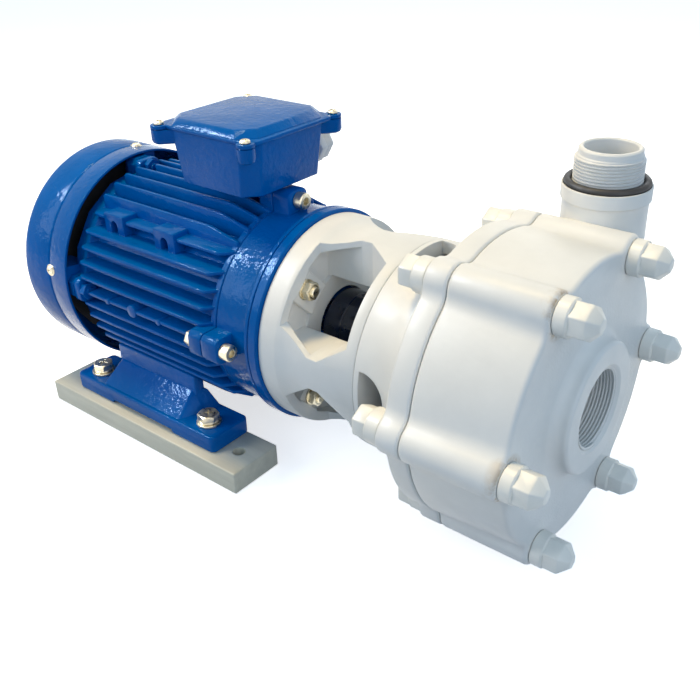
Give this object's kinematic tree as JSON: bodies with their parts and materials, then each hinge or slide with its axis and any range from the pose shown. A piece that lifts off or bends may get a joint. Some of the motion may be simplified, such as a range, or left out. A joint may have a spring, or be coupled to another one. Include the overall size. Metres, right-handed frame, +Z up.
{
  "type": "chemical pump",
  "caption": "Close-coupled plastic centrifugal pump: lobed volute casing with side discharge and axial threaded suction, open lantern, finned foot-mounted electric motor on riser bars.",
  "frame": {"origin": "on the floor, under the middle of the overall length, on the vertical plane through the shaft", "axes": "+X along the shaft from the motor fan towards the suction port, +Z up, +Y towards the discharge side"},
  "size_m": [0.5282, 0.2356, 0.2731],
  "materials": {
    "motor_paint": "thick glossy blue paint with orange peel",
    "pump_body": "moulded off-white plastic, satin",
    "cap_plastic": "moulded off-white plastic, satin",
    "bar": "sawn beige plastic",
    "zinc": "yellowish zinc plate",
    "steel": "ground steel",
    "laminations": "stacked electrical steel, lacquered",
    "black_gloss": "glossy black sleeve",
    "rubber": "black O-ring rubber",
    "fan_plastic": "moulded black plastic",
    "gland": "grey-white nylon",
    "board": "brown moulding compound",
    "ceramic": "lapped ceramic",
    "carbon": "carbon seal ring"
  },
  "bodies": {
    "frame": {"riser_bar_near": "bar", "riser_bar_far": "bar", "foot_near": "motor_paint", "foot_far": "motor_paint", "foot_bolt_1": "zinc", "foot_bolt_2": "zinc", "foot_bolt_3": "zinc", "foot_bolt_4": "zinc", "stator_housing": "motor_paint", "stator_core": "laminations", "drive_end_shield": "motor_paint", "rear_end_shield": "motor_paint", "shield_screw_1": "zinc", "shield_screw_2": "zinc", "shield_screw_3": "zinc", "shield_screw_4": "zinc", "fan_cowl": "motor_paint", "front_bearing": "steel", "rear_bearing": "steel", "terminal_box": "motor_paint", "terminal_box_lid": "motor_paint", "lid_screw_1": "zinc", "lid_screw_2": "zinc", "lid_screw_3": "zinc", "lid_screw_4": "zinc", "cable_gland": "gland", "terminal_board": "board", "lantern": "pump_body", "lantern_nut_1": "zinc", "lantern_nut_2": "zinc", "lantern_nut_3": "zinc", "lantern_nut_4": "zinc", "rear_casing": "pump_body", "front_casing": "pump_body", "casing_o_ring": "rubber", "tie_bolt_1": "cap_plastic", "tie_bolt_2": "cap_plastic", "tie_bolt_3": "cap_plastic", "tie_bolt_4": "cap_plastic", "tie_bolt_5": "cap_plastic", "tie_bolt_6": "cap_plastic", "cap_nut_1": "cap_plastic", "cap_nut_2": "cap_plastic", "cap_nut_3": "cap_plastic", "cap_nut_4": "cap_plastic", "cap_nut_5": "cap_plastic", "cap_nut_6": "cap_plastic", "discharge_nipple": "pump_body", "discharge_o_ring": "rubber", "seal_seat": "ceramic", "seal_housing": "pump_body"},
    "rotor": {"rotor_shaft": "steel", "rotor_core": "laminations", "cooling_fan": "fan_plastic", "coupling_sleeve": "black_gloss", "impeller": "pump_body", "seal_rotary": "carbon"}
  },
  "joints": [
    {"name": "shaft_spin", "type": "hinge", "parent": "frame", "child": "rotor", "pos_m": [0.01785, 0, 0.12], "axis": [1, 0, 0], "continuous": true}
  ]
}
